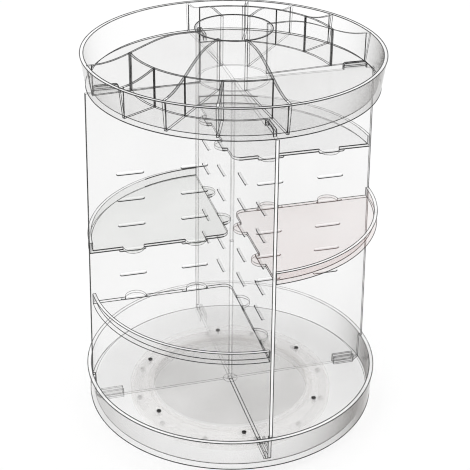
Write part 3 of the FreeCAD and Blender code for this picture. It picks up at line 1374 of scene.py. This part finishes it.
@dataclass
class Shelf:
    """One of the quarter-circle shelves."""

    shop: Workshop
    node: str
    finish: ClearPlastic
    rim_radius: float = 115.8 * MM
    rim_wall: float = 2.4 * MM
    tab_start: float = 0.5 * MM
    bead: float = 0.34 * MM
    tab_bead: float = 0.25 * MM
    front_bead: float = 0.5 * MM

    def __post_init__(self) -> None:
        """Takes the top and the quarter from the frame."""
        low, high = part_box(self.node)
        self.top = high.z
        self.sides = [math.copysign(1.0, middle) for middle in (low + high).xy]

    def part_of(self, centre: Vector, normal: Vector) -> int:
        """Which part of the shelf a face is.

        Args:
            centre: The face's centre.
            normal: Its normal.

        Returns:
            0 for the floor and wall, 1 for the top of the rim, 2 for the rim's ends.
        """
        if normal.z > SQUARE and centre.z > self.top - SKIN:
            return 1
        at_end = min(abs(centre.x), abs(centre.y)) < self.rim_wall
        return 2 if at_end and centre.xy.length > self.rim_radius - self.rim_wall else 0

    def through(self, centre: Vector, normal: Vector) -> bool:
        """Whether a face is on the part of a tab that passes through a panel."""
        own = min(centre.x * self.sides[0], centre.y * self.sides[1])
        return abs(normal.z) < MOSTLY and own < self.tab_start

    def inside(self, centre: Vector, normal: Vector) -> bool:
        """Whether a face is an upright side of the shelf itself."""
        return abs(normal.z) < MOSTLY and not self.through(centre, normal)

    def not_front(self, centre: Vector, normal: Vector) -> bool:
        """Whether a face is an upright side, other than a straight one that looks forwards."""
        straight = normal.y < -SQUARE and centre.xy.length < self.rim_radius - self.rim_wall
        return abs(normal.z) < MOSTLY and not (straight and centre.y > 0)

    def build(self) -> None:
        """Makes the shelf."""
        shop = self.shop
        mesh = Shape.cad_copy(self.node)
        lines = [
            Lines(Shape.without(mesh, self.through), self.bead, shop.low_dark),
            Lines(Shape.without(mesh, self.inside), self.tab_bead, shop.shade),
            Lines(Shape.without(mesh, self.not_front), self.front_bead, shop.stroke),
        ]
        materials = [self.finish.material(), shop.milky, shop.shade]
        name = self.node + "_moulding"
        shop.moulding(name, mesh, self.node, (self.node,), materials, self.part_of, lines)


@dataclass
class TopTray:
    """The divided top tray: dish, cup and walls in one moulding."""

    shop: Workshop
    floor: float = 2.2 * MM
    bottom_radius: float = 111.7 * MM
    rim_radius: float = 115.0 * MM
    rim_width: float = 2.6 * MM
    inner_radius: float = 109.4 * MM
    cup_top_radius: float = 29.3 * MM
    cup_floor_radius: float = 27.8 * MM
    cup_wall: float = 2.0 * MM
    cup_sides: int = 128
    wall: float = 1.8 * MM
    first_angle: float = math.radians(4.5)
    spacing: float = math.radians(45.0)
    short_angles: tuple[float, float] = (math.radians(30.0), math.radians(69.0))
    arc_radius: float = 80.5 * MM
    crest_radius: float = 42.0 * MM
    trough_radius: float = 108.0 * MM
    tab_centre: float = 98.0 * MM
    tab_width: float = 19.4 * MM
    tab_thickness: float = 2.8 * MM
    bead: float = 0.4 * MM
    floor_bead: float = 0.28 * MM
    wall_bead: float = 0.27 * MM
    slot_bead: float = 0.26 * MM
    lip_bead: float = 0.48 * MM
    arc_post: float = 0.55 * MM
    end_post: float = 0.45 * MM

    def __post_init__(self) -> None:
        """Takes the heights from the frame."""
        sizes = (self.floor, self.bottom_radius, self.rim_radius, self.rim_width, self.inner_radius)
        self.dish = Dish("top_tray_dish", *sizes)
        self.floor_top, self.rim_z = self.dish.floor_top, self.dish.rim_z
        self.lip_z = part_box("top_cup")[1].z

    def part_of(self, centre: Vector, normal: Vector) -> int:
        """Which part of the tray a face is.

        Args:
            centre: The face's centre.
            normal: Its normal.

        Returns:
            0 for the floor, 1 for the wall, 2 for its rim, 3 for a crest, 4 for the cup, 5 for a divider.
        """
        part = self.dish.part_of(centre, normal)
        crest = normal.z > PARTLY and centre.z > self.floor_top + self.dish.fillet
        if part == 0 and crest:
            return 3
        if centre.xy.length < self.cup_top_radius + WELD_SINK:
            return 4
        return 5 if part == 0 and abs(normal.z) < MOSTLY else part

    def build(self) -> None:
        """Makes the whole tray."""
        shop = self.shop
        cup, long_walls, low_walls = self.cup(), self.long_walls(), self.short_walls() + self.arc_walls()
        mesh = Shape.combined(self.dish.mesh(), [cup, *long_walls, *low_walls], "UNION")
        slots = self.tab_slots(self.dish.base_z - self.floor, self.floor_top + self.floor)
        mesh = Shape.combined(mesh, slots, "DIFFERENCE")
        nodes = ("top_tray_dish", "top_cup", "top_long_dividers", "top_short_dividers", "top_arc_walls")
        # Painted shade: the wall darkens towards the right and the front
        materials = [
            ClearPlastic("clear top floor", grey(0.30, 0.04), 0.085, 0.1).material(),
            ClearPlastic(
                "clear top wall", grey(0.22, 0.04), 0.01, 0.9, 3.5, painted_shade_right=0.6, painted_shade_front=0.3
            ).material(),
            shop.milky,
            shop.shade,
            ClearPlastic("clear cup", haze=0.01, edge_on=0.06).material(),
            ClearPlastic("clear dividers", grey(0.30, 0.02), 0.015, 0.1).material(),
        ]
        lines = self.lines(cup, long_walls, low_walls)
        shop.moulding("top_tray_moulding", mesh, "top_tray", nodes, materials, self.part_of, lines)

    def lines(
        self, cup: bpy.types.Mesh, long_walls: list[bpy.types.Mesh], low_walls: list[bpy.types.Mesh]
    ) -> list[Lines]:
        """The lines of the rim, the walls, the tab slots, the cup and the bays' posts.

        Args:
            cup: The cup.
            long_walls: The walls from the cup to the rim.
            low_walls: The short and the concentric walls.

        Returns:
            The lines.
        """
        shop = self.shop
        lines = [
            Lines(self.dish.mesh(), self.bead, shop.dark),
            Lines(self.dish.floor_edge(), self.floor_bead, shop.dark),
        ]
        lines += [Lines(wall, self.wall_bead, shop.low_dark) for wall in long_walls]
        lines += [Lines(wall, self.wall_bead, shop.dark) for wall in low_walls]
        slots = self.tab_slots(self.floor_top, self.floor_top + HAIR)
        lines += [Lines(slot, self.slot_bead, shop.dark) for slot in slots]
        return lines + [
            Lines(Shape.without(cup, self.at_foot), self.lip_bead, shop.stroke),
            Lines(Shape.without(cup, self.at_lip), self.floor_bead, shop.faint),
            Lines(self.posts(self.arc_radius), self.arc_post, shop.stroke),
            Lines(self.posts(self.dish.inner_radius), self.end_post, shop.stroke),
        ]

    def at_foot(self, centre: Vector, normal: Vector) -> bool:
        """Whether a face is the cup's foot or its inside."""
        return normal.z < -SQUARE or centre.xy.dot(normal.xy) < 0

    def at_lip(self, centre: Vector, normal: Vector) -> bool:
        """Whether a face is the cup's lip."""
        return normal.z > SQUARE

    def cup(self) -> bpy.types.Mesh:
        """The open cup, its foot sunk into the floor.

        Returns:
            The cup.
        """
        low = self.floor_top - WELD_SINK
        profile = [
            (self.cup_floor_radius - self.cup_wall, low),
            (self.cup_floor_radius, low),
            (self.cup_top_radius, self.lip_z),
            (self.cup_top_radius - self.cup_wall, self.lip_z),
        ]
        return Shape.lathe("cup", profile, self.cup_sides)

    def crest(self, radius: float) -> float:
        """Height of the radial walls: level by the cup, then an S down to the rim.

        Args:
            radius: How far out to measure.

        Returns:
            The height of the crest there.
        """
        share = (radius - self.crest_radius) / (self.trough_radius - self.crest_radius)
        share = min(max(share, 0.0), 1.0)
        return self.rim_z + (self.lip_z - self.rim_z) * (1 + math.cos(math.pi * share)) / 2

    def radial_wall(self, start: float, angle: float, steps: int = 40) -> bpy.types.Mesh:
        """An upright wall from a start radius into the rim wall.

        Args:
            start: Radius where the wall starts.
            angle: Its direction from +X.
            steps: Points along its crest.

        Returns:
            The wall.
        """
        low = self.floor_top - WELD_SINK
        end = self.dish.inner_radius_at(self.rim_z) + WELD_SINK
        foot = self.dish.inner_radius_at(self.floor_top) + WELD_SINK
        side = -self.wall / 2
        outline = [Vector((start, side, low)), Vector((foot, side, low))]
        for step in range(steps + 1):
            radius = end + (start - end) * step / steps
            outline.append(Vector((radius, side, self.crest(radius))))
        return Shape.turned(Shape.prism("wall", outline, Vector((0, self.wall, 0))), angle)

    def spokes(self, count: int) -> list[float]:
        """Angles of the first few long walls on each side."""
        angles = [self.first_angle + self.spacing * step for step in range(count)]
        return [half + angle for half in HALF_TURNS for angle in angles]

    def posts(self, radius: float) -> bpy.types.Mesh:
        """Blades for the upright lines where the long walls and the first short walls meet a circle.

        Args:
            radius: How far out they stand.

        Returns:
            The blades.
        """
        angles = self.spokes(3) + [half + self.short_angles[0] for half in HALF_TURNS]
        feet = [self.on_circle(radius, angle, self.floor_top) for angle in angles]
        return Shape.upright(feet, self.crest(radius))

    def long_walls(self) -> list[bpy.types.Mesh]:
        """Six walls from the cup to the rim."""
        start = self.cup_floor_radius - self.cup_wall / 2
        return [self.radial_wall(start, angle) for angle in self.spokes(3)]

    def short_walls(self) -> list[bpy.types.Mesh]:
        """Four walls from the concentric walls to the rim."""
        angles = [half + angle for half in HALF_TURNS for angle in self.short_angles]
        return [self.radial_wall(self.arc_radius, angle) for angle in angles]

    def arc_walls(self, steps: int = 32) -> list[bpy.types.Mesh]:
        """Four concentric walls, each between two long walls.

        Args:
            steps: Points along each wall.

        Returns:
            The walls.
        """
        low = self.floor_top - WELD_SINK
        rise = Vector((0, 0, self.crest(self.arc_radius) - low - HAIR))
        outer, inner = self.arc_radius + self.wall / 2, self.arc_radius - self.wall / 2
        walls = []
        for start in self.spokes(2):
            angles = [start + self.spacing * step / steps for step in range(steps + 1)]
            outline = [self.on_circle(outer, angle, low) for angle in angles]
            outline += [self.on_circle(inner, angle, low) for angle in reversed(angles)]
            walls.append(Shape.prism("arc_wall", outline, rise))
        return walls

    def on_circle(self, radius: float, angle: float, z: float) -> Vector:
        """A point at a radius, an angle from +X and a height."""
        return Vector((radius * math.cos(angle), radius * math.sin(angle), z))

    def tab_slots(self, low: float, high: float) -> list[bpy.types.Mesh]:
        """Blocks where the panels' tabs pass through the floor.

        Args:
            low: Height of their undersides.
            high: Height of their tops.

        Returns:
            The four blocks.
        """
        half_length, half_width = self.tab_width / 2, self.tab_thickness / 2
        start = Vector((self.tab_centre - half_length, -half_width, low))
        end = Vector((self.tab_centre + half_length, half_width, high))
        return Shape.quarters(Shape.block(start, end))


# Stage


@dataclass(frozen=True)
class Lamp:
    """A square soft lamp."""

    name: str
    place: tuple[float, float, float]
    size: float
    power: float


@dataclass
class Studio:
    """Pale floor, soft light and camera."""

    camera_place: tuple[float, float, float] = (-0.23776, -0.84965, 0.64228)
    heading: float = math.radians(-15.80500)
    tilt: float = math.radians(61.01548)
    roll: float = math.radians(0.71003)
    lens: float = 95.154
    sensor: float = 36.0
    sky: float = 1.0
    clip: tuple[float, float] = (0.01, 50.0)
    filter_width: float = 1.1
    see_through_bounces: int = 96
    bounces: int = 12
    floor_radius: float = 12.0
    floor_sides: int = 64
    floor_tone: float = 0.3
    floor_glow: float = 0.69
    floor_roughness: float = 0.9
    aim: tuple[float, float, float] = (0.0, 0.0, 0.15)
    lamps: tuple[Lamp, ...] = (
        Lamp("left_softbox", (-1.6, -1.2, 1.8), 1.2, 10.0),
        Lamp("right_softbox", (1.7, -0.6, 1.6), 1.0, 6.0),
    )

    def build(self) -> None:
        """Sets up the floor, the light and the camera."""
        scene = bpy.context.scene
        scene.view_settings.view_transform = "Standard"
        scene.cycles.transparent_max_bounces = self.see_through_bounces
        scene.cycles.max_bounces = self.bounces
        scene.cycles.filter_width = self.filter_width
        self.floor()
        self.light()
        self.camera()

    def floor(self) -> None:
        """A wide white floor."""
        made = bmesh.new()
        bmesh.ops.create_circle(made, cap_ends=True, segments=self.floor_sides, radius=self.floor_radius)
        mesh = Shape.from_bmesh("floor", made)
        paint = Paint("white floor")
        body = paint.node(
            "ShaderNodeBsdfPrincipled",
            inputs={
                "Base Color": grey(self.floor_tone),
                "Roughness": self.floor_roughness,
                "Specular IOR Level": 0.0,
                "Emission Color": (1, 1, 1, 1),
                "Emission Strength": self.floor_glow,
            },
        )
        mesh.materials.append(paint.finish(body))
        floor = bpy.data.objects.new("floor", mesh)
        bpy.context.scene.collection.objects.link(floor)

    def light(self) -> None:
        """An even white sky and two large soft lamps."""
        world = bpy.data.worlds.new("sky")
        world.use_nodes = True
        background = world.node_tree.nodes["Background"]
        background.inputs["Color"].default_value = (1, 1, 1, 1)
        background.inputs["Strength"].default_value = self.sky
        bpy.context.scene.world = world
        for lamp in self.lamps:
            light = bpy.data.lights.new(lamp.name, "AREA")
            light.size = lamp.size
            light.energy = lamp.power
            made = bpy.data.objects.new(lamp.name, light)
            made.location = lamp.place
            towards = Vector(self.aim) - Vector(lamp.place)
            made.rotation_euler = towards.to_track_quat("-Z", "Y").to_euler()
            bpy.context.scene.collection.objects.link(made)

    def camera(self) -> None:
        """The camera, set by its place, heading, tilt and roll."""
        lens = bpy.data.cameras.new("camera")
        lens.lens = self.lens
        lens.sensor_width = self.sensor
        lens.clip_start, lens.clip_end = self.clip
        made = bpy.data.objects.new("camera", lens)
        turn = (
            Matrix.Rotation(self.heading, 4, "Z")
            @ Matrix.Rotation(self.tilt, 4, "X")
            @ Matrix.Rotation(self.roll, 4, "Z")
        )
        made.matrix_world = Matrix.Translation(self.camera_place) @ turn
        bpy.context.scene.collection.objects.link(made)
        bpy.context.scene.camera = made


def workshop() -> Workshop:
    """The finishes and growths that the mouldings share.

    Returns:
        The workshop.
    """
    return Workshop(
        # The two panels' sheets are one plastic: the front and back panel's smaller haze is painted light
        sheet=ClearPlastic("clear sheet", haze=0.075, edge_on=0.08).material(),
        sheet_painted_lighter=ClearPlastic("clear sheet painted lighter", haze=0.03, edge_on=0.08).material(),
        milky=MilkyPlastic(
            "milky edge", (0.95, 0.95, 0.95, 1), 0.7, 0.1, 0.25, 700.0, (1.0, 1.0, 0.2)
        ).material(),
        dark=Arris("dark arris").material(),
        low_dark=Arris("dark low arris", fade=0.8).material(),
        faint=Arris("faint arris", grey(0.08), 0.45, fade=0.8).material(),
        stroke=Arris("heavy arris", grey(0.01), 1.0, 0.5, 0.2).material(),
        shade=Arris("shaded edge", grey(0.04), 0.5, 1.0).material(),
        slot_floor=Arris("slot floor", grey(0.05), 0.22, 0.4).material(),
        beads=arris_growth(),
        circles=circle_growth(),
    )


def main() -> None:
    """Builds the caddy's pieces and the stage, in order."""
    logging.basicConfig(level=logging.INFO, format="%(name)s: %(message)s")
    shop = workshop()
    Turntable(shop).build()
    BaseDish(shop).build()
    Panel(shop, "side_panel", 0, shop.sheet).build()
    # The front and back panel takes the same sheet drawn lighter as painted light
    Panel(shop, "front_back_panel", 1, shop.sheet_painted_lighter).build()
    # Each shelf is the same clear plastic; its own haze and tint are painted light, shade and reflection
    # for how each sits in the light
    for node, finish in (
        ("back_right_tray", ClearPlastic("clear shelf, painted neutral shade", grey(0.32), 0.065)),
        ("back_left_tray", ClearPlastic("clear shelf, painted cool light", (0.30, 0.33, 0.27, 1), 0.08)),
        ("front_left_tray", ClearPlastic("clear shelf, painted grey light", grey(0.30), 0.008, 0.06)),
        ("front_right_tray", ClearPlastic("clear shelf, painted warm reflection", (0.50, 0.30, 0.27, 1), 0.085)),
    ):
        Shelf(shop, node, finish).build()
    TopTray(shop).build()
    Studio().build()


if __name__ == "__main__":
    main()
